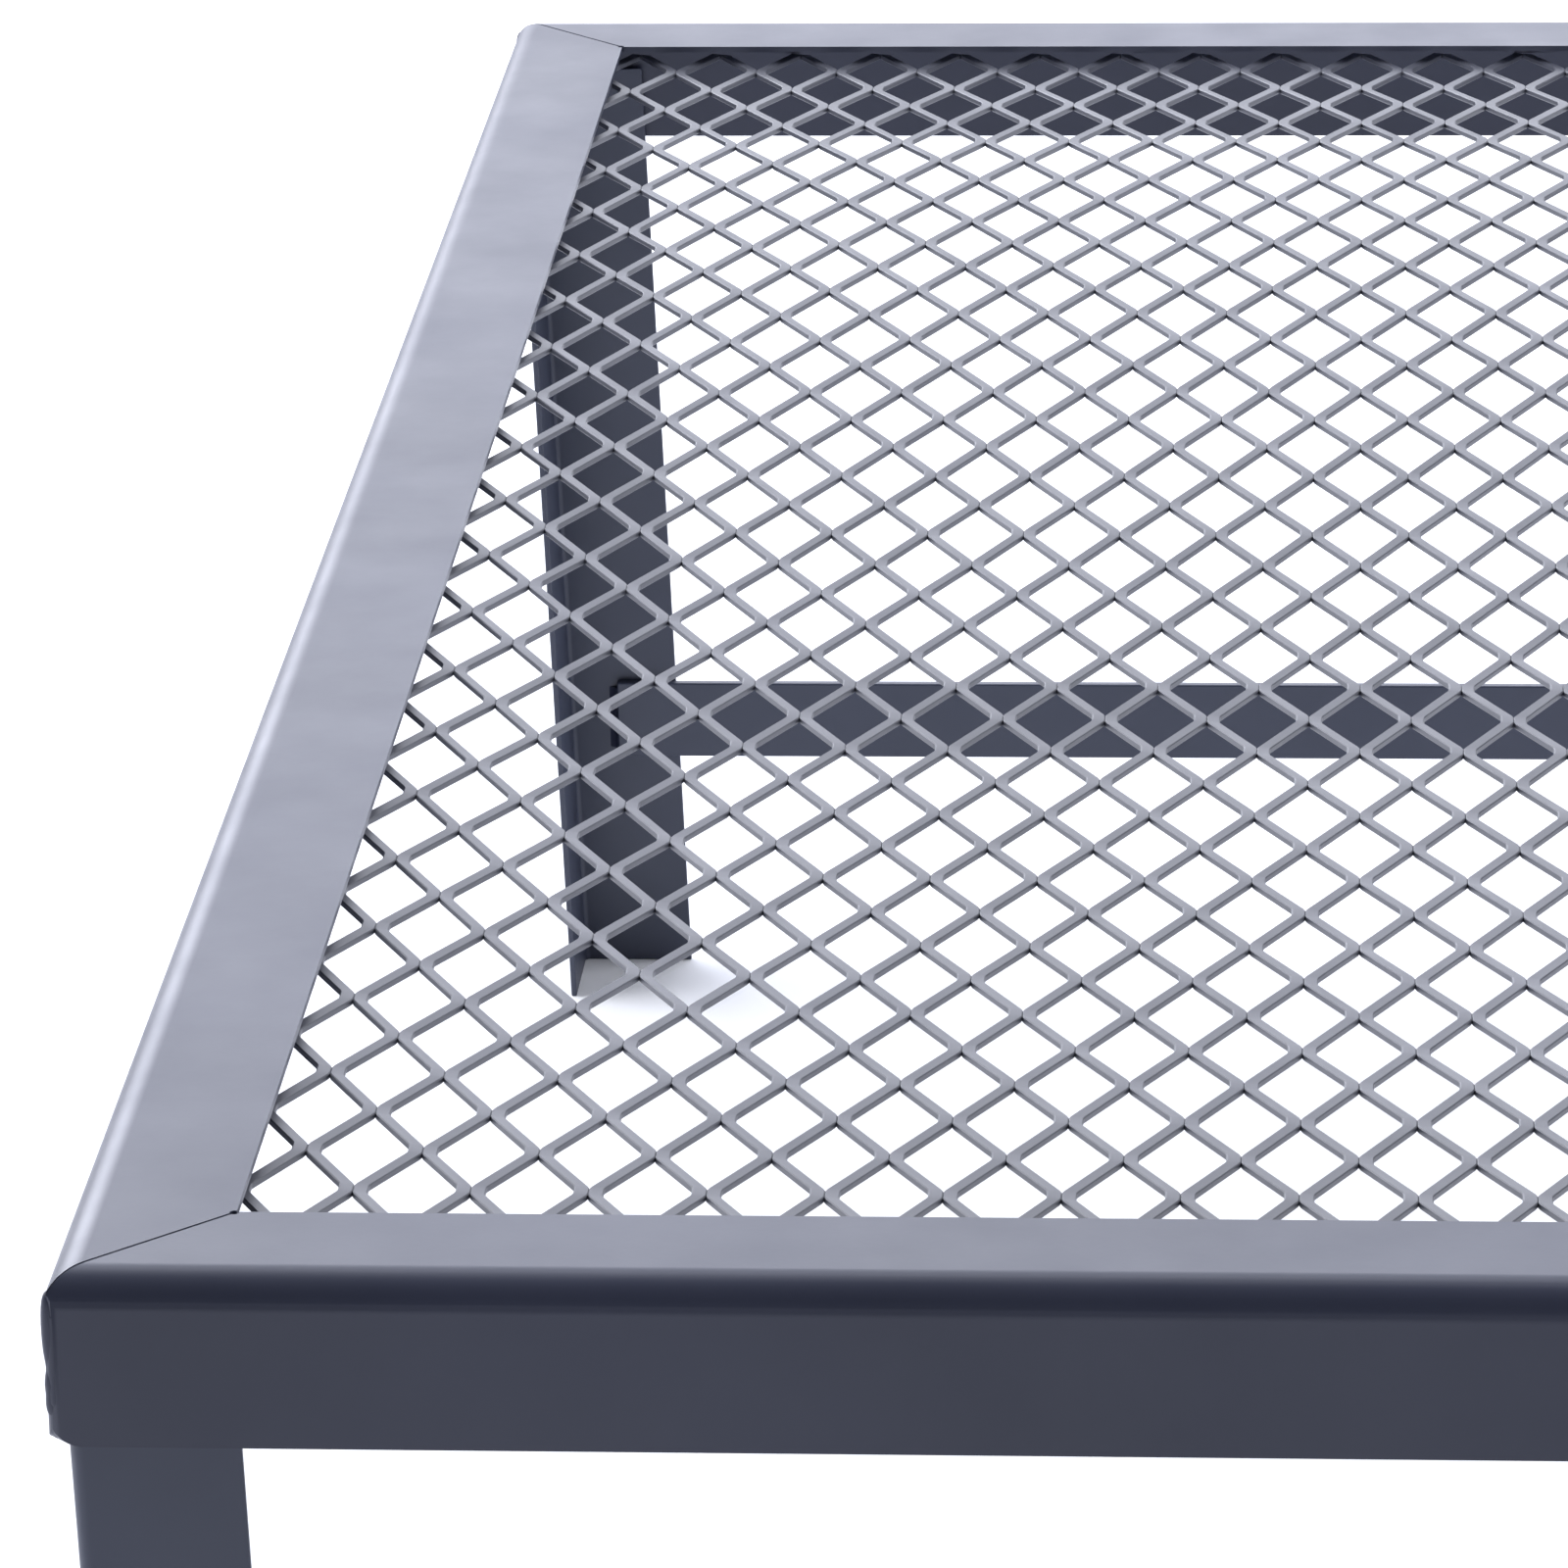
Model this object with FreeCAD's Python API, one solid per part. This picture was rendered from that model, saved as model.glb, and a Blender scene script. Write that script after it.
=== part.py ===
"""Folding over-fire grill grate: a mitred angle frame, an expanded metal grate and two folding pairs of angle legs.

Units are millimetres, +Z up, the front of the grate faces -Y, the origin is on the floor at the middle of the plan.
One STEP file is written for each separate piece, already in its place.
"""
import FreeCAD
import Part

import math
import os

from FreeCAD import Vector

# Whole grate
GRATE_WIDTH = 461.0          # X, outside of the left rail to outside of the right rail
GRATE_DEPTH = 918.0          # Y, outside of the front rail to outside of the rear rail
GRATE_HEIGHT = 278.0         # floor to the top of the frame

# Angle section of the frame rails
RAIL_TOP = 32.0              # width of the top flange
RAIL_DROP = 33.5             # height of the upright flange
RAIL_WALL = 1.5
RAIL_FOLD_RADIUS = 7.0       # outside of the fold
FRAME_CORNER_RADIUS = 3.0    # upright outside corner, dressed round
CORNER_FOOT_RADIUS = 3.5     # lower end of that corner, rounded in the diagonal plane
MITRE_HOLE_RADIUS = 0.9      # small gap left at the inner end of each mitre
MITRE_HOLE_INSET = 0.4       # its centre, measured from the inner corner along both sides
MITRE_GAP = 0.6              # left open between two mitred rails for the weld
WELD_RECESS = 0.2            # weld lies this far under the dressed faces
CORNER_BEAD_RADIUS = 1.7     # bead down the outside corner
CORNER_BEAD_INSET = 1.9      # bead centre, measured in from the sharp corner along both sides
CORNER_BEAD_END = 8.5        # bead stops this far from the top and bottom of the upright flange

# Angle section of the legs
LEG_FLANGE = 32.0
LEG_WALL = 1.5
LEG_FOLD_RADIUS = 3.0
LEG_SIDE_GAP = 1.3           # side rail to leg at the pivot, mostly filled by the washer
LEG_END_GAP = 0.8            # front or rear rail to leg
LEG_LEAN = 1.8               # degrees: the feet stand in towards the middle

# Leg pivots
PIVOT_DROP = 18.5            # pivot centre under the top of the frame
PIVOT_BACK = 18.5            # pivot centre behind the outer face of the leg's main flange
PIVOT_TAB_RADIUS = 13.5      # round top of the side flange about the pivot
MAIN_FLANGE_RISE = 3.0       # main flange stops this far above the pivot centre
RIVET_RADIUS = 3.0
LEG_HOLE_RADIUS = 3.08       # running clearance on the rivet
RIVET_HEAD_RADIUS = 6.0
RIVET_HEAD_HEIGHT = 2.4
RIVET_TAIL_RADIUS = 5.0
RIVET_TAIL_HEIGHT = 2.0
RUNNING_GAP = 0.5            # washer to leg, and leg to rivet tail, measured at the rivet
WASHER_RADIUS = 5.5
WASHER_HOLE_RADIUS = 3.2

# Crossbar of each leg pair
BAR_HEIGHT = 22.0
BAR_THICK = 3.0
BAR_TOP_DROP = 193.0         # top edge of the bar under the top of the frame
BAR_LAP = 17.0               # bar end laps this far over the leg
BAR_WELD_LEG = 2.4           # fillet weld at the end of the bar
FILLET_MIDDLE = 0.4          # middle of a hollow fillet face, as a share of its leg
BAR_WELD_END = 2.0           # weld stops this far from the edges of the bar

# Expanded metal grate
MESH_THICK = 4.0
MESH_LAP = 10.0              # hidden under the top flanges on all four sides
MESH_CELLS_ACROSS = 18       # whole diamonds between the two side rails
MESH_PITCH_Y = 41.0          # long way of the diamond
MESH_FIRST_ROW = 24.9        # middle of the front row of diamonds, behind the front rail's inner edge
MESH_SHIFT_X = -5.0          # the panel isn't centred on its pattern
MESH_STRAND = 3.0
MESH_BORDER = 2.5            # solid edge left around the cut diamonds
MESH_SMALLEST_HOLE = 1.5     # clipped diamonds thinner than this stay solid
TACK_LEG = 3.0               # fillet weld between the grate edge and the flange
TACK_LENGTH = 12.0
TACKS_PER_LONG_SIDE = 6
TACKS_PER_SHORT_SIDE = 4

HALF_WIDTH = GRATE_WIDTH / 2
HALF_DEPTH = GRATE_DEPTH / 2
MESH_PITCH_X = (GRATE_WIDTH - 2 * RAIL_TOP) / MESH_CELLS_ACROSS   # short way of the diamond
MESH_TOP = GRATE_HEIGHT - RAIL_WALL
MESH_HALF_X = HALF_WIDTH - RAIL_TOP + MESH_LAP
MESH_HALF_Y = HALF_DEPTH - RAIL_TOP + MESH_LAP
LEG_OUTER_X = HALF_WIDTH - RAIL_WALL - LEG_SIDE_GAP
LEG_OUTER_Y = HALF_DEPTH - RAIL_WALL - LEG_END_GAP
PIVOT_Y = LEG_OUTER_Y - PIVOT_BACK
PIVOT_Z = GRATE_HEIGHT - PIVOT_DROP
SPARE = 20.0                 # cutting tools run this far past the work
CORNERS = {
    "front_left": (-1, -1),
    "front_right": (1, -1),
    "rear_left": (-1, 1),
    "rear_right": (1, 1),
}


def save(shape, node):
    """Write one piece, its faces merged, to its own file."""
    shape.exportStep("parts/" + node + ".step")


def placed(shape, side_x, side_y):
    """A copy of a piece made for the right rear quarter, put in the quarter named by the two signs."""
    result = shape.copy()
    if side_x < 0:
        result = result.mirror(Vector(0, 0, 0), Vector(1, 0, 0))
    if side_y < 0:
        result = result.mirror(Vector(0, 0, 0), Vector(0, 1, 0))
    return result


def angle_face(reach, drop, wall, radius):
    """Angle section in the XZ plane: outside corner at the origin, one flange to -X, the other down to -Z."""
    inner = radius - wall
    diagonal = math.sqrt(0.5)
    outer_middle = Vector(-radius + radius * diagonal, 0, -radius + radius * diagonal)
    inner_middle = Vector(-radius + inner * diagonal, 0, -radius + inner * diagonal)
    edges = [
        Part.makeLine(Vector(-reach, 0, 0), Vector(-radius, 0, 0)),
        Part.Arc(Vector(-radius, 0, 0), outer_middle, Vector(0, 0, -radius)).toShape(),
        Part.makeLine(Vector(0, 0, -radius), Vector(0, 0, -drop)),
        Part.makeLine(Vector(0, 0, -drop), Vector(-wall, 0, -drop)),
        Part.makeLine(Vector(-wall, 0, -drop), Vector(-wall, 0, -radius)),
        Part.Arc(Vector(-wall, 0, -radius), inner_middle, Vector(-radius, 0, -wall)).toShape(),
        Part.makeLine(Vector(-radius, 0, -wall), Vector(-reach, 0, -wall)),
        Part.makeLine(Vector(-reach, 0, -wall), Vector(-reach, 0, 0)),
    ]
    return Part.Face(Part.Wire(edges))


def side_rail_bar(recess):
    """Unmitred right rail, longer than the frame, with all its outer faces moved in by the recess."""
    face = angle_face(RAIL_TOP - 2 * recess, RAIL_DROP - 2 * recess, RAIL_WALL - 2 * recess, RAIL_FOLD_RADIUS - recess)
    face.translate(Vector(HALF_WIDTH - recess, -HALF_DEPTH - SPARE, GRATE_HEIGHT - recess))
    return face.extrude(Vector(0, GRATE_DEPTH + 2 * SPARE, 0))


def end_rail_bar(recess):
    """Unmitred rear rail, longer than the frame, with all its outer faces moved in by the recess."""
    face = angle_face(RAIL_TOP - 2 * recess, RAIL_DROP - 2 * recess, RAIL_WALL - 2 * recess, RAIL_FOLD_RADIUS - recess)
    face.rotate(Vector(0, 0, 0), Vector(0, 0, 1), 90)
    face.translate(Vector(HALF_WIDTH + SPARE, HALF_DEPTH - recess, GRATE_HEIGHT - recess))
    return face.extrude(Vector(-GRATE_WIDTH - 2 * SPARE, 0, 0))


def mitre_wedge(gap):
    """Tall trapezoid prism over the right rail, its ends on the mitre planes less half the gap."""
    inner_x = HALF_WIDTH - RAIL_TOP - SPARE
    outer_x = HALF_WIDTH + SPARE
    shift = gap / 2 * math.sqrt(2)
    near = HALF_DEPTH - (HALF_WIDTH - inner_x) - shift
    far = HALF_DEPTH + SPARE - shift
    points = [
        Vector(inner_x, -near, 0),
        Vector(outer_x, -far, 0),
        Vector(outer_x, far, 0),
        Vector(inner_x, near, 0),
        Vector(inner_x, -near, 0),
    ]
    return Part.Face(Part.makePolygon(points)).extrude(Vector(0, 0, GRATE_HEIGHT + SPARE))


def end_mitre_wedge(gap):
    """Tall trapezoid prism over the rear rail, its ends on the mitre planes less half the gap."""
    inner_y = HALF_DEPTH - RAIL_TOP - SPARE
    outer_y = HALF_DEPTH + SPARE
    shift = gap / 2 * math.sqrt(2)
    near = HALF_WIDTH - (HALF_DEPTH - inner_y) - shift
    far = HALF_WIDTH + SPARE - shift
    points = [
        Vector(-near, inner_y, 0),
        Vector(-far, outer_y, 0),
        Vector(far, outer_y, 0),
        Vector(near, inner_y, 0),
        Vector(-near, inner_y, 0),
    ]
    return Part.Face(Part.makePolygon(points)).extrude(Vector(0, 0, GRATE_HEIGHT + SPARE))


def plan_block():
    """Solid block with the rounded plan outline of the frame, used to round its upright corners."""
    block = Part.makeBox(GRATE_WIDTH, GRATE_DEPTH, GRATE_HEIGHT, Vector(-HALF_WIDTH, -HALF_DEPTH, 0))
    upright = [
        edge
        for edge in block.Edges
        if abs(edge.Vertexes[0].Z - edge.Vertexes[1].Z) > GRATE_HEIGHT / 2
    ]
    return block.makeFillet(FRAME_CORNER_RADIUS, upright)


def corner_foot_cutter():
    """Tool that rounds the lower end of the right rear outside corner, seen across the diagonal."""
    inset = FRAME_CORNER_RADIUS * (math.sqrt(2) - 1)
    radius = CORNER_FOOT_RADIUS
    low_z = GRATE_HEIGHT - RAIL_DROP
    on_arc = radius * (1 - math.sqrt(0.5))
    tip = Vector(inset, 0, low_z + radius)
    middle = Vector(inset + on_arc, 0, low_z + on_arc)
    heel = Vector(inset + radius, 0, low_z)
    below = Vector(inset + radius, 0, low_z - radius)
    outside = Vector(inset - radius, 0, low_z - radius)
    above = Vector(inset - radius, 0, low_z + radius)
    edges = [
        Part.Arc(tip, middle, heel).toShape(),
        Part.makeLine(heel, below),
        Part.makeLine(below, outside),
        Part.makeLine(outside, above),
        Part.makeLine(above, tip),
    ]
    cutter = Part.Face(Part.Wire(edges)).extrude(Vector(0, 4 * radius, 0))
    cutter.translate(Vector(0, -2 * radius, 0))
    cutter.rotate(Vector(0, 0, 0), Vector(0, 0, 1), -135)
    cutter.translate(Vector(HALF_WIDTH, HALF_DEPTH, 0))
    return cutter


def with_rounded_feet(shape):
    """Round the lower outside corners of a frame piece, whichever of the four it reaches."""
    tool = corner_foot_cutter()
    for side_x, side_y in CORNERS.values():
        shape = shape.cut(placed(tool, side_x, side_y))
    return shape


def without_mitre_holes(shape):
    """Open the small gap at the inner end of each mitre that a frame piece reaches."""
    hole_x = HALF_WIDTH - RAIL_TOP + MITRE_HOLE_INSET
    hole_y = HALF_DEPTH - RAIL_TOP + MITRE_HOLE_INSET
    tool = Part.makeCylinder(MITRE_HOLE_RADIUS, 2 * SPARE, Vector(hole_x, hole_y, GRATE_HEIGHT - SPARE))
    for side_x, side_y in CORNERS.values():
        shape = shape.cut(placed(tool, side_x, side_y))
    return shape


def side_cylinder(radius, x_from, x_to, y, z):
    """Cylinder along X between two stations."""
    return Part.makeCylinder(radius, x_to - x_from, Vector(x_from, y, z), Vector(1, 0, 0))


def make_side_rail():
    """Right rail with its two rivet holes."""
    rail = with_rounded_feet(side_rail_bar(0.0).common(mitre_wedge(MITRE_GAP)).common(plan_block()))
    rail = without_mitre_holes(rail)
    for side_y in (-1, 1):
        hole = side_cylinder(RIVET_RADIUS, HALF_WIDTH - SPARE, HALF_WIDTH + SPARE, side_y * PIVOT_Y, PIVOT_Z)
        rail = rail.cut(hole)
    return rail


def make_end_rail():
    """Rear rail."""
    rail = with_rounded_feet(end_rail_bar(0.0).common(end_mitre_wedge(MITRE_GAP)).common(plan_block()))
    return without_mitre_holes(rail)


def make_corner_weld():
    """Right rear corner weld: filling of the mitre gap and a bead down the outside corner."""
    joined = side_rail_bar(WELD_RECESS).common(mitre_wedge(0.0))
    joined = joined.fuse(end_rail_bar(WELD_RECESS).common(end_mitre_wedge(0.0)))
    slab = Part.makeBox(4 * RAIL_TOP, MITRE_GAP, RAIL_DROP + SPARE, Vector(-2 * RAIL_TOP, -MITRE_GAP / 2, 0))
    slab.rotate(Vector(0, 0, 0), Vector(0, 0, 1), 45)
    slab.translate(Vector(HALF_WIDTH, HALF_DEPTH, GRATE_HEIGHT - RAIL_DROP - SPARE / 2))
    filling = without_mitre_holes(with_rounded_feet(joined.common(slab).common(plan_block())))
    bead_length = RAIL_DROP - 2 * CORNER_BEAD_END
    bead_x = HALF_WIDTH - CORNER_BEAD_INSET
    bead_y = HALF_DEPTH - CORNER_BEAD_INSET
    bead_z = GRATE_HEIGHT - RAIL_DROP + CORNER_BEAD_END
    bead = Part.makeCylinder(CORNER_BEAD_RADIUS, bead_length, Vector(bead_x, bead_y, bead_z))
    bead = bead.fuse(Part.makeSphere(CORNER_BEAD_RADIUS, Vector(bead_x, bead_y, bead_z)))
    bead = bead.fuse(Part.makeSphere(CORNER_BEAD_RADIUS, Vector(bead_x, bead_y, bead_z + bead_length)))
    bead = bead.cut(make_side_rail()).cut(make_end_rail())
    return filling.fuse(bead).removeSplitter()


def leg_outline():
    """Side view of an upright right rear leg as a prism along X: bevelled main flange, round pivot tab, long foot."""
    corner_y = PIVOT_Y + PIVOT_BACK
    reach = math.hypot(PIVOT_BACK, MAIN_FLANGE_RISE)
    corner_angle = math.atan2(MAIN_FLANGE_RISE, PIVOT_BACK)
    touch_angle = corner_angle + math.acos(PIVOT_TAB_RADIUS / reach)
    middle_angle = (touch_angle + math.pi) / 2

    def on_tab(angle):
        return Vector(0, PIVOT_Y + PIVOT_TAB_RADIUS * math.cos(angle), PIVOT_Z + PIVOT_TAB_RADIUS * math.sin(angle))

    foot_outer = Vector(0, corner_y, -SPARE)
    foot_inner = Vector(0, PIVOT_Y - PIVOT_TAB_RADIUS, -SPARE)
    shoulder = Vector(0, corner_y, PIVOT_Z + MAIN_FLANGE_RISE)
    edges = [
        Part.makeLine(foot_inner, foot_outer),
        Part.makeLine(foot_outer, shoulder),
        Part.makeLine(shoulder, on_tab(touch_angle)),
        Part.Arc(on_tab(touch_angle), on_tab(middle_angle), on_tab(math.pi)).toShape(),
        Part.makeLine(on_tab(math.pi), foot_inner),
    ]
    return Part.Face(Part.Wire(edges)).extrude(Vector(HALF_WIDTH, 0, 0))


def lean_in(shape):
    """Turn a piece of the right rear leg about its pivot so that the foot stands in towards the middle."""
    leaning = shape.copy()
    leaning.rotate(Vector(LEG_OUTER_X, 0, PIVOT_Z), Vector(0, 1, 0), LEG_LEAN)
    return leaning


def make_leg():
    """Right rear leg: folded angle, trimmed at the top, leaned in, cut level at the floor and drilled for its rivet."""
    section = angle_face(LEG_FLANGE, LEG_FLANGE, LEG_WALL, LEG_FOLD_RADIUS)
    section.rotate(Vector(0, 0, 0), Vector(1, 0, 0), -90)
    section.translate(Vector(LEG_OUTER_X, LEG_OUTER_Y, -SPARE))
    leg = lean_in(section.extrude(Vector(0, 0, GRATE_HEIGHT + SPARE)).common(leg_outline()))
    under_floor = Part.makeBox(GRATE_WIDTH, GRATE_DEPTH, 2 * SPARE, Vector(0, 0, -2 * SPARE))
    hole = side_cylinder(LEG_HOLE_RADIUS, LEG_OUTER_X - SPARE, LEG_OUTER_X + SPARE, PIVOT_Y, PIVOT_Z)
    return leg.cut(under_floor).cut(hole)


def make_rivet():
    """Right rear pivot rivet: domed head outside the rail, shank, flat tail inside the leg."""
    tail_start = LEG_OUTER_X - LEG_WALL - RUNNING_GAP
    shank = side_cylinder(RIVET_RADIUS, tail_start - RIVET_TAIL_HEIGHT, HALF_WIDTH + RIVET_HEAD_HEIGHT / 2, PIVOT_Y, PIVOT_Z)
    tail = side_cylinder(RIVET_TAIL_RADIUS, tail_start - RIVET_TAIL_HEIGHT, tail_start, PIVOT_Y, PIVOT_Z)
    ball_radius = (RIVET_HEAD_RADIUS ** 2 + RIVET_HEAD_HEIGHT ** 2) / (2 * RIVET_HEAD_HEIGHT)
    ball_x = HALF_WIDTH + RIVET_HEAD_HEIGHT - ball_radius
    ball = Part.makeSphere(ball_radius, Vector(ball_x, PIVOT_Y, PIVOT_Z))
    head = ball.common(side_cylinder(2 * RIVET_HEAD_RADIUS, HALF_WIDTH, HALF_WIDTH + SPARE, PIVOT_Y, PIVOT_Z))
    return head.fuse([shank, tail]).removeSplitter()


def make_washer():
    """Right rear washer, resting on the inside of the side rail."""
    inner_x = LEG_OUTER_X + RUNNING_GAP
    outer_x = HALF_WIDTH - RAIL_WALL
    disc = side_cylinder(WASHER_RADIUS, inner_x, outer_x, PIVOT_Y, PIVOT_Z)
    return disc.cut(side_cylinder(WASHER_HOLE_RADIUS, inner_x - SPARE, outer_x + SPARE, PIVOT_Y, PIVOT_Z))


def bar_end_x():
    """Half length of a crossbar."""
    bar_middle_z = GRATE_HEIGHT - BAR_TOP_DROP - BAR_HEIGHT / 2
    lean_shift = (PIVOT_Z - bar_middle_z) * math.tan(math.radians(LEG_LEAN))
    return LEG_OUTER_X - lean_shift - LEG_FLANGE + BAR_LAP


def make_bar():
    """Rear crossbar, lapped on the inner faces of the two rear legs."""
    end_x = bar_end_x()
    bar_y = LEG_OUTER_Y - LEG_WALL - BAR_THICK
    bar_z = GRATE_HEIGHT - BAR_TOP_DROP - BAR_HEIGHT
    return Part.makeBox(2 * end_x, BAR_THICK, BAR_HEIGHT, Vector(-end_x, bar_y, bar_z))


def make_bar_weld():
    """Fillet weld between the right end of the rear crossbar and its leg."""
    end_x = bar_end_x()
    leg_y = LEG_OUTER_Y - LEG_WALL
    low_z = GRATE_HEIGHT - BAR_TOP_DROP - BAR_HEIGHT + BAR_WELD_END
    mid = Vector(end_x + BAR_WELD_LEG * FILLET_MIDDLE, leg_y - BAR_WELD_LEG * FILLET_MIDDLE, low_z)
    edges = [
        Part.makeLine(Vector(end_x, leg_y - BAR_WELD_LEG, low_z), Vector(end_x, leg_y, low_z)),
        Part.makeLine(Vector(end_x, leg_y, low_z), Vector(end_x + BAR_WELD_LEG, leg_y, low_z)),
        Part.Arc(Vector(end_x + BAR_WELD_LEG, leg_y, low_z), mid, Vector(end_x, leg_y - BAR_WELD_LEG, low_z)).toShape(),
    ]
    return Part.Face(Part.Wire(edges)).extrude(Vector(0, 0, BAR_HEIGHT - 2 * BAR_WELD_END))


def clip(points, axis, limit, keep_below):
    """Part of a flat polygon on one side of a line across the X (axis 0) or Y (axis 1) direction."""
    kept = []
    for index, point in enumerate(points):
        before = points[index - 1]
        inside = (point[axis] <= limit) == keep_below
        was_inside = (before[axis] <= limit) == keep_below
        if inside != was_inside:
            share = (limit - before[axis]) / (point[axis] - before[axis])
            kept.append((before[0] + share * (point[0] - before[0]), before[1] + share * (point[1] - before[1])))
        if inside:
            kept.append(point)
    return kept


def diamond_hole(centre_x, centre_y):
    """Corners of one diamond opening, clipped to the panel less its border."""
    half_x = MESH_PITCH_X / 2
    half_y = MESH_PITCH_Y / 2
    side_distance = half_x * half_y / math.hypot(half_x, half_y)
    shrink = 1 - MESH_STRAND / 2 / side_distance
    points = [
        (centre_x + half_x * shrink, centre_y),
        (centre_x, centre_y + half_y * shrink),
        (centre_x - half_x * shrink, centre_y),
        (centre_x, centre_y - half_y * shrink),
    ]
    limit_x = MESH_HALF_X - MESH_BORDER
    limit_y = MESH_HALF_Y - MESH_BORDER
    points = clip(points, 0, limit_x, True)
    points = clip(points, 0, -limit_x, False) if points else points
    points = clip(points, 1, limit_y, True) if points else points
    points = clip(points, 1, -limit_y, False) if points else points
    if len(points) < 3:
        return None
    wide = max(p[0] for p in points) - min(p[0] for p in points)
    deep = max(p[1] for p in points) - min(p[1] for p in points)
    return points if min(wide, deep) > MESH_SMALLEST_HOLE else None


def make_mesh():
    """Expanded metal panel: a plate pierced by staggered rows of diamonds."""
    outline = [
        Vector(-MESH_HALF_X, -MESH_HALF_Y, 0),
        Vector(MESH_HALF_X, -MESH_HALF_Y, 0),
        Vector(MESH_HALF_X, MESH_HALF_Y, 0),
        Vector(-MESH_HALF_X, MESH_HALF_Y, 0),
        Vector(-MESH_HALF_X, -MESH_HALF_Y, 0),
    ]
    wires = [Part.makePolygon(outline)]
    first_y = MESH_FIRST_ROW - (HALF_DEPTH - RAIL_TOP)
    rows = int(2 * MESH_HALF_Y / (MESH_PITCH_Y / 2)) + 1
    columns = MESH_CELLS_ACROSS // 2 + 2
    for row in range(-1, rows):
        stagger = 0.0 if row % 2 else MESH_PITCH_X / 2
        for column in range(-columns, columns):
            centre_x = column * MESH_PITCH_X + stagger + MESH_SHIFT_X
            points = diamond_hole(centre_x, first_y + row * MESH_PITCH_Y / 2)
            if points:
                wires.append(Part.makePolygon([Vector(x, y, 0) for x, y in points + points[:1]]))
    panel = Part.Face(wires).extrude(Vector(0, 0, MESH_THICK))
    panel.translate(Vector(0, 0, MESH_TOP - MESH_THICK))
    return panel


def tack_weld():
    """Fillet weld along X at the origin: grate edge behind it, flange above it."""
    mid = Vector(0, TACK_LEG * FILLET_MIDDLE, -TACK_LEG * FILLET_MIDDLE)
    edges = [
        Part.makeLine(Vector(0, 0, -TACK_LEG), Vector(0, 0, 0)),
        Part.makeLine(Vector(0, 0, 0), Vector(0, TACK_LEG, 0)),
        Part.Arc(Vector(0, TACK_LEG, 0), mid, Vector(0, 0, -TACK_LEG)).toShape(),
    ]
    weld = Part.Face(Part.Wire(edges)).extrude(Vector(TACK_LENGTH, 0, 0))
    weld.translate(Vector(-TACK_LENGTH / 2, 0, 0))
    return weld


def make_side_tacks(length, edge_distance, count, turn):
    """Evenly spaced tack welds along one edge of the grate, turned about Z to that edge."""
    welds = []
    for index in range(count):
        along = length * ((index + 0.5) / count - 0.5)
        weld = tack_weld()
        weld.translate(Vector(along, edge_distance, MESH_TOP))
        weld.rotate(Vector(0, 0, 0), Vector(0, 0, 1), turn)
        welds.append(weld)
    return Part.makeCompound(welds)


def main():
    os.makedirs("parts", exist_ok=True)
    side_rail = make_side_rail()
    end_rail = make_end_rail()
    save(placed(side_rail, -1, 1), "rail_left")
    save(side_rail, "rail_right")
    save(placed(end_rail, 1, -1), "rail_front")
    save(end_rail, "rail_rear")
    save(make_mesh(), "mesh_panel")
    tack_rows = {
        "front": (2 * MESH_HALF_X, MESH_HALF_Y, TACKS_PER_SHORT_SIDE, 180),
        "rear": (2 * MESH_HALF_X, MESH_HALF_Y, TACKS_PER_SHORT_SIDE, 0),
        "left": (2 * MESH_HALF_Y, MESH_HALF_X, TACKS_PER_LONG_SIDE, 90),
        "right": (2 * MESH_HALF_Y, MESH_HALF_X, TACKS_PER_LONG_SIDE, -90),
    }
    for side, row in tack_rows.items():
        save(make_side_tacks(*row), "mesh_tacks_" + side)
    corner_pieces = {
        "corner_weld_": make_corner_weld(),
        "leg_": make_leg(),
        "pivot_rivet_": make_rivet(),
        "pivot_washer_": make_washer(),
        "crossbar_weld_": make_bar_weld(),
    }
    for corner, (side_x, side_y) in CORNERS.items():
        for prefix, shape in corner_pieces.items():
            save(placed(shape, side_x, side_y), prefix + corner)
    bar = make_bar()
    save(placed(bar, 1, -1), "crossbar_front")
    save(bar, "crossbar_rear")


main()
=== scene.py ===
"""Looks of the folding over-fire grate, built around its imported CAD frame.

Metres, +Z up, the front faces -Y.
"""

import math

import bpy
from mathutils import Matrix, Vector


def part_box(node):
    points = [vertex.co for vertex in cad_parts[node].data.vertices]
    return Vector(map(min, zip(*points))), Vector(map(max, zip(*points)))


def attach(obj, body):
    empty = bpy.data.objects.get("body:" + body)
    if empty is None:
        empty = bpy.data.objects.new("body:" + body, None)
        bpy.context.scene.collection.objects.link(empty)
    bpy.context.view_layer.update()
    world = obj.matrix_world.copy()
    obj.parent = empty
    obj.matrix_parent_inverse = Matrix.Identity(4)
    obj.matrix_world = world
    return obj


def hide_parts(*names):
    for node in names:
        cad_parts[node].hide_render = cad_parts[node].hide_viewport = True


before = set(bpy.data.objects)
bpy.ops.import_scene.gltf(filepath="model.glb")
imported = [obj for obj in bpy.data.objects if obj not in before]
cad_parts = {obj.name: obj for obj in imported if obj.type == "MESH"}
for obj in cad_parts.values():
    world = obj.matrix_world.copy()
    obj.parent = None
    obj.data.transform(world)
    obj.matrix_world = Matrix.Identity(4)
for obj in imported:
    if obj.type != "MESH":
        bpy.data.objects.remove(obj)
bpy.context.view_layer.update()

MM = 0.001

# Softened edges of sheet and bar
SHEET_EDGE = 0.35 * MM
BAR_EDGE = 0.5 * MM
RIVET_EDGE = 0.25 * MM
WASHER_EDGE = 0.1 * MM
EDGE_SEGMENTS = 2
SHARP_ANGLE = math.radians(35)
BEAD_SHARP_ANGLE = math.radians(60)
STRAND_SHARP_ANGLE = math.radians(25)
FLAT_ANGLE = math.radians(1.0)
MERGE_DISTANCE = 0.002 * MM

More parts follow.
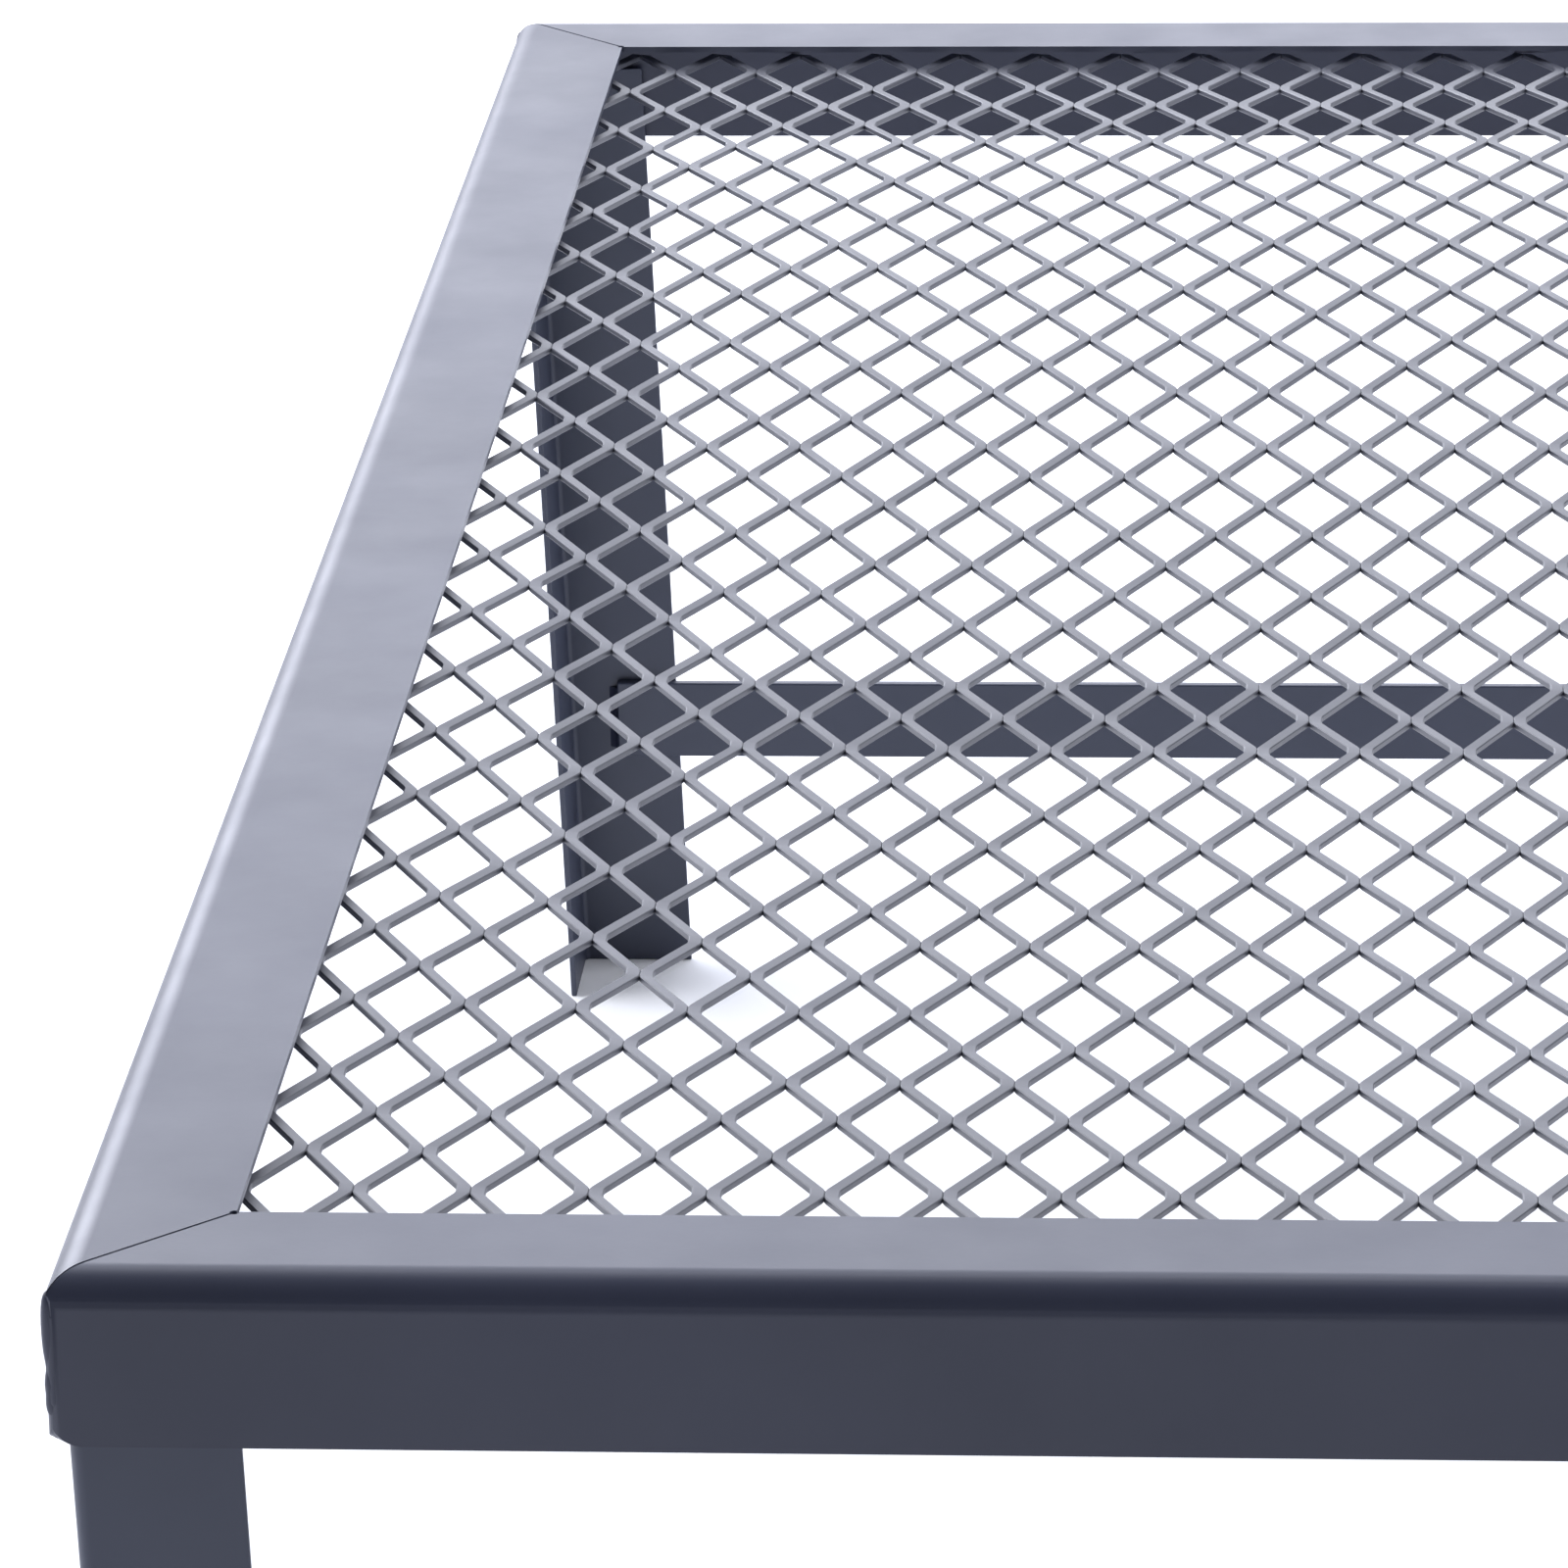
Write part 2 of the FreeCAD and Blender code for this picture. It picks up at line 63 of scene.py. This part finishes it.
# Bead down each outside corner: (distance under the top of the frame, radius) from its lower end up
BEAD_RINGS = tuple(
    (drop * MM, radius * MM)
    for drop, radius in (
        (28.4, 0.4), (27.6, 1.1), (25.6, 1.45), (23.6, 1.2), (21.8, 1.5), (20.0, 1.2), (18.4, 0.9),
        (16.6, 1.3), (13.8, 1.55), (9.8, 1.65), (6.4, 1.5), (4.4, 1.1), (3.4, 0.4),
    )
)
BEAD_SIDES = 12
BEAD_INSET_X = 1.1 * MM
BEAD_INSET_Y = 1.75 * MM

# Expanded metal
CELLS_ACROSS = 18
LONG_PITCH = 41.0 * MM
FIRST_ROW = 24.9 * MM
PATTERN_SHIFT = -5.0 * MM        # the panel isn't centred on its pattern
PATTERN_SKEW = -0.0038           # and its rows aren't quite square to its sides
STRAND_WIDTH = 2.8 * MM
STRAND_THICK = 1.4 * MM
# length of a bond, as a share of the one at which crossing strands would run on in line
BOND_SHARE = 0.6
PANEL_DROP = 2.0 * MM            # middle of the strands under the middle of the CAD panel, at its edges
STRAND_TILT = math.radians(-5)
STRAND_EDGE = 0.22 * MM
# how far along the run, and how far across it, for the rounded turn out of one bond and into the next
RUN_STEPS = ((0.05, 0.03), (0.95, 0.97), (1.0, 1.0))
# how far the panel hangs between its front and rear edges: in one, two and three half waves
SAG_WAVES = (1.4 * MM, 4.35 * MM, -0.8 * MM)
SAG_EDGE_POWER = 4                # the higher it is, the flatter the sag is across the middle
SAG_POINTS_X = 13
SAG_POINTS_Y = 17
CAGE_MARGIN = 1.01               # lattice to panel, in plan
CAGE_HEIGHT = 50 * MM
SPARE_COLUMNS = 3                # past the sides, cut away later
END_FACING = 0.99                # a face turned this far to Y closes an end of the wire

# Finish of the coat
GLOSS_BELOW = 0.03               # roughness varies from this much under its mean
GLOSS_ABOVE = 0.04               # to this much over it

# Studio: each light's name, place, aim, width, height, watts and colour
ROOM_GLOW = 0.12
FLOOR_SIZE = 24
SOFTBOXES = (
    ("left_softbox", (-3.2, 0.6, 2.4), (0, -0.1, 0), 3.0, 2.4, 157, "fbfcff"),
    ("right_softbox", (3.2, 0.3, 2.6), (0, -0.1, 0), 3.0, 2.4, 124, "fbfcff"),
    ("rear_screen", (0.0, 3.4, 1.45), (0, 0, 0.5), 5.0, 1.8, 96, "f0f3ff"),
    ("rear_upper_screen", (0.0, 1.7, 3.3), (0, 0, 0.3), 4.4, 2.2, 75, "f0f3ff"),
    ("rear_left_screen", (-1.9, 3.0, 1.4), (0, 0, 0.3), 1.6, 1.6, 38, "f0f3ff"),
)

# Camera
CAMERA_LENS = 203.44
CAMERA_PLACE = (0.0130, -1.9309, 0.8871)
CAMERA_TURN = 4.144              # degrees to the left of straight ahead
CAMERA_TIP = 19.205              # degrees down from level
CAMERA_ROLL = -1.108


def deselect():
    """Leave edit mode with nothing selected."""
    if bpy.context.mode != "OBJECT":
        bpy.ops.object.mode_set(mode="OBJECT")
    bpy.ops.object.select_all(action="DESELECT")


def work_on(piece):
    """Make one object the only selected and the active one."""
    deselect()
    piece.select_set(True)
    bpy.context.view_layer.objects.active = piece


def settle(piece):
    """Move an object's place, turn and size into its mesh."""
    work_on(piece)
    bpy.ops.object.transform_apply(location=True, rotation=True, scale=True)


def modify(piece, kind, **settings):
    """Add a modifier with its settings and apply it."""
    work_on(piece)
    modifier = piece.modifiers.new(kind.lower(), kind)
    for key, value in settings.items():
        setattr(modifier, key, value)
    bpy.ops.object.modifier_apply(modifier=modifier.name)


def edit_all(piece):
    """Enter edit mode with the whole mesh selected."""
    work_on(piece)
    bpy.ops.object.mode_set(mode="EDIT")
    bpy.ops.mesh.select_all(action="SELECT")


def pick_faces(piece, wanted):
    """Select only the faces for which wanted(centre, normal) holds, and stay in edit mode."""
    work_on(piece)
    bpy.ops.object.mode_set(mode="EDIT")
    bpy.ops.mesh.select_mode(type="FACE")
    bpy.ops.mesh.select_all(action="DESELECT")
    bpy.ops.object.mode_set(mode="OBJECT")
    for face in piece.data.polygons:
        face.select = wanted(face.center, face.normal)
    bpy.ops.object.mode_set(mode="EDIT")


def smooth(piece, angle=SHARP_ANGLE):
    """Smooth shading that keeps the sharp edges."""
    work_on(piece)
    bpy.ops.object.shade_smooth_by_angle(angle=angle)


# ---------------------------------------------------------------- materials


def paint(hex_colour):
    """Linear colour of an sRGB hex value."""
    values = [int(hex_colour[i : i + 2], 16) / 255 for i in (0, 2, 4)]
    linear = [v / 12.92 if v <= 0.04045 else ((v + 0.055) / 1.055) ** 2.4 for v in values]
    return (*linear, 1.0)


def add_node(material, kind, links=(), **settings):
    """Add a shader node with its properties and sockets, linked from (socket, node, output) rows."""
    tree = material.node_tree
    node = tree.nodes.new(kind)
    for key, value in settings.items():
        if key.startswith("in_"):
            node.inputs[key[3:].replace("_", " ")].default_value = value
        else:
            setattr(node, key, value)
    for socket, source, output in links:
        tree.links.new(source.outputs[output], node.inputs[socket])
    return node


def start_material(name):
    """New material with its shader and object coordinates."""
    material = bpy.data.materials.new(name)
    material.use_nodes = True
    shader = material.node_tree.nodes["Principled BSDF"]
    place = add_node(material, "ShaderNodeTexCoord")
    return material, shader, place


def ramp(material, source, output, low, high, low_colour, high_colour):
    """Two-colour ramp between two positions, driven by a node's output."""
    node = add_node(material, "ShaderNodeValToRGB", [("Fac", source, output)])
    node.color_ramp.elements[0].position = low
    node.color_ramp.elements[0].color = low_colour
    node.color_ramp.elements[1].position = high
    node.color_ramp.elements[1].color = high_colour
    return node


def powder_coat(name, dark, light, gloss, ripples):
    """Satin polyester powder coat on mild steel: dark blue-grey, faint orange peel, soft broad reflections.

    The sheet under it is a little wavy along its length, from folding and from the heat of the welds.
    """
    material, shader, place = start_material(name)
    tree = material.node_tree
    cloud = add_node(
        material, "ShaderNodeTexNoise", [("Vector", place, "Object")],
        in_Scale=1 / (90 * MM), in_Detail=3.0, in_Roughness=0.5,
    )
    colour = ramp(material, cloud, "Fac", 0.35, 0.65, paint(dark), paint(light))
    tree.links.new(colour.outputs["Color"], shader.inputs["Base Color"])
    gloss_cloud = add_node(
        material, "ShaderNodeTexNoise", [("Vector", place, "Object")],
        in_Scale=1 / (35 * MM), in_Detail=4.0, in_Roughness=0.6,
    )
    gloss_range = add_node(
        material, "ShaderNodeMapRange", [("Value", gloss_cloud, "Fac")],
        in_From_Min=0.3, in_From_Max=0.7, in_To_Min=gloss - GLOSS_BELOW, in_To_Max=gloss + GLOSS_ABOVE,
    )
    tree.links.new(gloss_range.outputs["Result"], shader.inputs["Roughness"])
    # orange peel, real cells of 0.5 mm drawn at 1.5 mm so that they show
    peel = add_node(
        material, "ShaderNodeTexNoise", [("Vector", place, "Object")],
        in_Scale=1 / (1.5 * MM), in_Detail=2.0, in_Roughness=0.5,
    )
    peel_bump = add_node(
        material, "ShaderNodeBump", [("Height", peel, "Fac")],
        in_Strength=0.25, in_Distance=0.03 * MM,
    )
    stretch = add_node(
        material, "ShaderNodeMapping", [("Vector", place, "Object")], in_Scale=ripples,
    )
    ripple = add_node(
        material, "ShaderNodeTexNoise", [("Vector", stretch, "Vector")],
        in_Scale=1.0, in_Detail=1.5, in_Roughness=0.4,
    )
    ripple_bump = add_node(
        material, "ShaderNodeBump", [("Height", ripple, "Fac"), ("Normal", peel_bump, "Normal")],
        in_Strength=1.0, in_Distance=0.12 * MM,
    )
    tree.links.new(ripple_bump.outputs["Normal"], shader.inputs["Normal"])
    shader.inputs["IOR"].default_value = 1.5
    return material


def zinc_plate(name):
    """Plain zinc plated washer: pale bluish metal with a dull, cloudy shine."""
    material, shader, place = start_material(name)
    tree = material.node_tree
    cloud = add_node(
        material, "ShaderNodeTexNoise", [("Vector", place, "Object")],
        in_Scale=1 / (3 * MM), in_Detail=4.0, in_Roughness=0.6,
    )
    colour = ramp(material, cloud, "Fac", 0.3, 0.7, paint("9c9ea3"), paint("c2c4c8"))
    tree.links.new(colour.outputs["Color"], shader.inputs["Base Color"])
    shader.inputs["Metallic"].default_value = 1.0
    shader.inputs["Roughness"].default_value = 0.38
    return material


def floor_paint():
    """Matt white studio floor, hardly cooler than neutral."""
    material, shader, place = start_material("studio_floor_paint")
    grain = add_node(
        material, "ShaderNodeTexNoise", [("Vector", place, "Object")],
        in_Scale=1 / (400 * MM), in_Detail=2.0,
    )
    colour = ramp(material, grain, "Fac", 0.3, 0.7, paint("f6f8fd"), paint("fafbff"))
    material.node_tree.links.new(colour.outputs["Color"], shader.inputs["Base Color"])
    shader.inputs["Roughness"].default_value = 0.9
    shader.inputs["Specular IOR Level"].default_value = 0.1
    return material


# Ripples to the metre along X, Y and Z
ALONG_Y = (4.0, 14.0, 2.0)
ALONG_X = (14.0, 4.0, 2.0)
UPRIGHT = (3.0, 3.0, 12.0)
# Painted shade: the rails' coat is painted darker than the legs' coat, though both are the same powder coat.
# The darker tone stands in for the darker look of the rails' aprons, which reflect the dim room in front.
# The weld and rivet coats repeat this darker tone.
SHADED_RAIL_COAT = "2f3345"
SHADED_RAIL_COAT_PALE = "33374a"
side_coat = powder_coat("powder_coat_side_rails_painted_shade", SHADED_RAIL_COAT, SHADED_RAIL_COAT_PALE, 0.40, ALONG_Y)
end_coat = powder_coat("powder_coat_end_rails_painted_shade", SHADED_RAIL_COAT, SHADED_RAIL_COAT_PALE, 0.40, ALONG_X)
# Painted light: the legs and crossbars get a lighter tone of the same powder coat. It stands in for the
# brighter look they have low down, near the white floor.
lit_leg_coat = powder_coat("powder_coat_legs_painted_light", "3a3f50", "3e4355", 0.42, UPRIGHT)
weld_coat = powder_coat("powder_coat_over_weld", "2f3345", "33374a", 0.44, UPRIGHT)
strand_coat = powder_coat("powder_coat_expanded_metal", "41434c", "484a54", 0.42, ALONG_Y)
rivet_coat = powder_coat("powder_coat_rivets", "2f3345", "343849", 0.38, UPRIGHT)
washer_zinc = zinc_plate("zinc_plated_washer")


def dress(piece, material):
    """Give a piece one material."""
    piece.data.materials.clear()
    piece.data.materials.append(material)


# ---------------------------------------------------------------- pieces from the frame


def soften(node, edge, material, body):
    """Stand-in for a CAD node with its loose triangles joined and its edges rounded."""
    deselect()
    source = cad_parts[node]
    piece = source.copy()
    piece.data = source.data.copy()
    piece.name = node + "_finish"
    piece.data.name = piece.name
    bpy.context.collection.objects.link(piece)
    piece.parent = None
    piece.matrix_world = Matrix.Identity(4)
    edit_all(piece)
    bpy.ops.mesh.remove_doubles(threshold=MERGE_DISTANCE)
    bpy.ops.mesh.dissolve_limited(angle_limit=FLAT_ANGLE)
    bpy.ops.object.mode_set(mode="OBJECT")
    modify(piece, "BEVEL", width=edge, segments=EDGE_SEGMENTS, limit_method="ANGLE", angle_limit=SHARP_ANGLE)
    smooth(piece)
    modify(piece, "WEIGHTED_NORMAL", weight=100, keep_sharp=True)
    dress(piece, material)
    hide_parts(node)
    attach(piece, body)
    return piece


CORNERS = ("front_left", "front_right", "rear_left", "rear_right")


def leg_body(corner):
    """Body that a corner's leg rides on."""
    return "front_legs" if corner.startswith("front") else "rear_legs"


def make_corner_beads():
    """Hand-run weld bead down each outside corner, uneven and partly dressed away near its lower end."""
    low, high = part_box("rail_left")
    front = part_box("rail_front")[0][1]
    foot, foot_radius = BEAD_RINGS[0]
    place = (low[0] + BEAD_INSET_X, front + BEAD_INSET_Y, high[2] - foot)
    deselect()
    bpy.ops.mesh.primitive_circle_add(
        vertices=BEAD_SIDES, radius=foot_radius, fill_type="NGON", location=place,
    )
    bead = bpy.context.object
    settle(bead)
    edit_all(bead)
    for drop, radius in BEAD_RINGS[1:]:
        bpy.ops.mesh.extrude_region_move(TRANSFORM_OT_translate={"value": (0, 0, foot - drop)})
        centre = (place[0], place[1], high[2] - drop)
        growth = radius / foot_radius
        bpy.ops.transform.resize(value=(growth, growth, 1), center_override=centre)
        foot, foot_radius = drop, radius
    bpy.ops.object.mode_set(mode="OBJECT")
    modify(bead, "SUBSURF", levels=1, render_levels=1)
    for corner in CORNERS:
        piece = bead.copy()
        piece.data = bead.data.copy()
        bpy.context.collection.objects.link(piece)
        piece.scale = (1 if corner.endswith("left") else -1, 1 if corner.startswith("front") else -1, 1)
        settle(piece)
        edit_all(piece)
        bpy.ops.mesh.normals_make_consistent(inside=False)
        bpy.ops.object.mode_set(mode="OBJECT")
        smooth(piece, BEAD_SHARP_ANGLE)
        piece.name = "corner_bead_" + corner
        dress(piece, weld_coat)
        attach(piece, "grate_frame")
    bpy.data.objects.remove(bead)


def make_frame_pieces():
    """Finished stand-ins for the rails, crossbars, legs, rivets and washers."""
    for side in ("left", "right"):
        soften("rail_" + side, SHEET_EDGE, side_coat, "grate_frame")
    for end in ("front", "rear"):
        soften("rail_" + end, SHEET_EDGE, end_coat, "grate_frame")
        soften("crossbar_" + end, BAR_EDGE, lit_leg_coat, end + "_legs")
    for corner in CORNERS:
        soften("leg_" + corner, SHEET_EDGE, lit_leg_coat, leg_body(corner))
        soften("pivot_rivet_" + corner, RIVET_EDGE, rivet_coat, "grate_frame")
        soften("pivot_washer_" + corner, WASHER_EDGE, washer_zinc, "grate_frame")


# ---------------------------------------------------------------- expanded metal


def make_wire(rail_box_x, first_y, middle_z):
    """One zigzag wire of the expanded metal, one pitch long, open at both ends, at the grate's left edge."""
    short_pitch = 2 * rail_box_x / CELLS_ACROSS
    lean_x = STRAND_WIDTH / 2 * math.cos(STRAND_TILT)
    lean_z = STRAND_WIDTH / 2 * math.sin(STRAND_TILT)
    bond_half = BOND_SHARE * lean_x * LONG_PITCH / short_pitch
    left = -rail_box_x - short_pitch + lean_x + PATTERN_SHIFT
    reach = short_pitch / 2 - 2 * lean_x
    run = LONG_PITCH / 2 - 2 * bond_half
    deselect()
    bpy.ops.mesh.primitive_plane_add(
        size=1, location=(left, first_y, middle_z + lean_z), rotation=(math.pi / 2, -STRAND_TILT, 0)
    )
    wire = bpy.context.object
    wire.scale = (STRAND_WIDTH, STRAND_THICK, 1)
    settle(wire)
    edit_all(wire)
    bpy.ops.mesh.bevel(offset=STRAND_EDGE, segments=1, affect="VERTICES")
    for direction in (1, -1):
        moves = [(0.0, bond_half, 0.0)]
        done_along, done_across = 0.0, 0.0
        for along, across in RUN_STEPS:
            step = direction * (across - done_across)
            moves.append((step * reach, (along - done_along) * run, -step * 2 * lean_z))
            done_along, done_across = along, across
        moves.append((0.0, bond_half, 0.0))
        for move in moves:
            bpy.ops.mesh.extrude_region_move(TRANSFORM_OT_translate={"value": move})
    bpy.ops.object.mode_set(mode="OBJECT")
    pick_faces(wire, lambda centre, normal: abs(normal.y) > END_FACING)
    bpy.ops.mesh.delete(type="FACE")
    bpy.ops.object.mode_set(mode="OBJECT")
    return wire, short_pitch


def make_expanded_metal():
    """The grate: raised expanded steel mesh, cut to the panel, a little sagged between its welded edges."""
    low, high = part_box("mesh_panel")
    inner_x = -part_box("rail_left")[1][0]
    inner_y = -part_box("rail_front")[1][1]
    middle_z = (low[2] + high[2]) / 2 - PANEL_DROP
    start_y = -inner_y + FIRST_ROW - LONG_PITCH
    wire, short_pitch = make_wire(inner_x, start_y, middle_z)
    rows = int((high[1] - start_y) / LONG_PITCH) + 1
    columns = CELLS_ACROSS + SPARE_COLUMNS
    modify(
        wire, "ARRAY", count=rows, use_relative_offset=False, use_constant_offset=True,
        constant_offset_displace=(0, LONG_PITCH, 0), use_merge_vertices=True, merge_threshold=MERGE_DISTANCE,
    )
    work_on(wire)
    bpy.ops.object.duplicate()
    mate = bpy.context.object
    mate.location = (short_pitch / 2, -LONG_PITCH / 2, 0)
    settle(mate)
    wire.select_set(True)
    bpy.context.view_layer.objects.active = wire
    bpy.ops.object.join()
    modify(
        wire, "ARRAY", count=columns, use_relative_offset=False, use_constant_offset=True,
        constant_offset_displace=(short_pitch, 0, 0), use_merge_vertices=False,
    )
    sag(wire, low, high, inner_x, inner_y)
    cuts = (
        ((low[0], 0, 0), (-1, 0, 0)),
        ((high[0], 0, 0), (1, 0, 0)),
        ((0, low[1], 0), (0, -1, 0)),
        ((0, high[1], 0), (0, 1, 0)),
    )
    for point, outward in cuts:
        edit_all(wire)
        bpy.ops.mesh.bisect(plane_co=point, plane_no=outward, clear_outer=True, use_fill=True)
        bpy.ops.object.mode_set(mode="OBJECT")
    edit_all(wire)
    bpy.ops.mesh.normals_make_consistent(inside=False)
    bpy.ops.object.mode_set(mode="OBJECT")
    smooth(wire, STRAND_SHARP_ANGLE)
    wire.name = "expanded_metal_grate"
    dress(wire, strand_coat)
    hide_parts("mesh_panel")
    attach(wire, "grate_frame")


def sag(panel, low, high, inner_x, inner_y):
    """Let the panel hang between its welded edges, lowest in its front half, its rows out of square."""
    deselect()
    centre = [(low[k] + high[k]) / 2 for k in range(3)]
    bpy.ops.object.add(type="LATTICE", location=centre)
    cage = bpy.context.object
    cage.scale = [(high[k] - low[k]) * CAGE_MARGIN for k in range(2)] + [CAGE_HEIGHT]
    cage.data.points_u = SAG_POINTS_X
    cage.data.points_v = SAG_POINTS_Y
    cage.data.points_w = 2
    for direction in "uvw":
        setattr(cage.data, "interpolation_type_" + direction, "KEY_CARDINAL")
    for point in cage.data.points:
        x = centre[0] + point.co.x * cage.scale.x
        y = centre[1] + point.co.y * cage.scale.y
        along = min(max((y + inner_y) / (2 * inner_y), 0.0), 1.0)
        across = max(0.0, 1 - (x / inner_x) ** SAG_EDGE_POWER)
        drop = sum(depth * math.sin((wave + 1) * math.pi * along) for wave, depth in enumerate(SAG_WAVES))
        point.co_deform.z -= drop * across / cage.scale.z
        point.co_deform.x += PATTERN_SKEW * y / cage.scale.x
    modify(panel, "LATTICE", object=cage)
    bpy.data.objects.remove(cage)


# ---------------------------------------------------------------- stage


def make_floor():
    """Pale floor, far larger than the view."""
    deselect()
    bpy.ops.mesh.primitive_plane_add(size=FLOOR_SIZE, location=(0, 0, 0))
    floor = bpy.context.object
    floor.name = "studio_floor"
    dress(floor, floor_paint())


def add_softbox(name, place, aim, wide, tall, watts, colour):
    """Rectangular soft light at a place, turned to an aim point."""
    lamp = bpy.data.lights.new(name, "AREA")
    lamp.shape = "RECTANGLE"
    lamp.size = wide
    lamp.size_y = tall
    lamp.energy = watts
    lamp.color = paint(colour)[:3]
    holder = bpy.data.objects.new(name, lamp)
    holder.location = place
    holder.rotation_euler = (Vector(aim) - Vector(place)).to_track_quat("-Z", "Y").to_euler()
    bpy.context.collection.objects.link(holder)


def light_studio():
    """Dim white room with a softbox at each side, low bright screens behind and a dimmer one above them."""
    world = bpy.data.worlds.new("white_room")
    world.use_nodes = True
    tree = world.node_tree
    dim = tree.nodes["Background"]
    dim.inputs["Color"].default_value = paint("f4f7ff")
    dim.inputs["Strength"].default_value = ROOM_GLOW
    seen = tree.nodes.new("ShaderNodeBackground")
    seen.inputs["Color"].default_value = paint("fbfcff")
    path = tree.nodes.new("ShaderNodeLightPath")
    choose = tree.nodes.new("ShaderNodeMixShader")
    tree.links.new(path.outputs["Is Camera Ray"], choose.inputs["Fac"])
    tree.links.new(dim.outputs["Background"], choose.inputs[1])
    tree.links.new(seen.outputs["Background"], choose.inputs[2])
    tree.links.new(choose.outputs["Shader"], tree.nodes["World Output"].inputs["Surface"])
    bpy.context.scene.world = world
    for softbox in SOFTBOXES:
        add_softbox(*softbox)


def place_camera():
    """Long lens, above the grate and in front of its middle, turned a little to the left."""
    camera = bpy.data.cameras.new("view")
    camera.lens = CAMERA_LENS
    camera.sensor_width = 36.0
    camera.clip_start = 0.05
    camera.clip_end = 60.0
    holder = bpy.data.objects.new("view", camera)
    turn = Matrix.Rotation(math.radians(CAMERA_TURN), 4, "Z")
    tip = Matrix.Rotation(math.radians(90 - CAMERA_TIP), 4, "X")
    roll = Matrix.Rotation(math.radians(CAMERA_ROLL), 4, "Z")
    holder.matrix_world = Matrix.Translation(CAMERA_PLACE) @ turn @ tip @ roll
    bpy.context.collection.objects.link(holder)
    bpy.context.scene.camera = holder


def dress_plain_nodes():
    """Finish of the CAD nodes that are shown as they are."""
    for name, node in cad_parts.items():
        if "weld" in name or "tacks" in name:
            dress(node, weld_coat)


make_frame_pieces()
make_corner_beads()
make_expanded_metal()
dress_plain_nodes()
make_floor()
light_studio()
place_camera()
bpy.context.scene.view_settings.view_transform = "Standard"
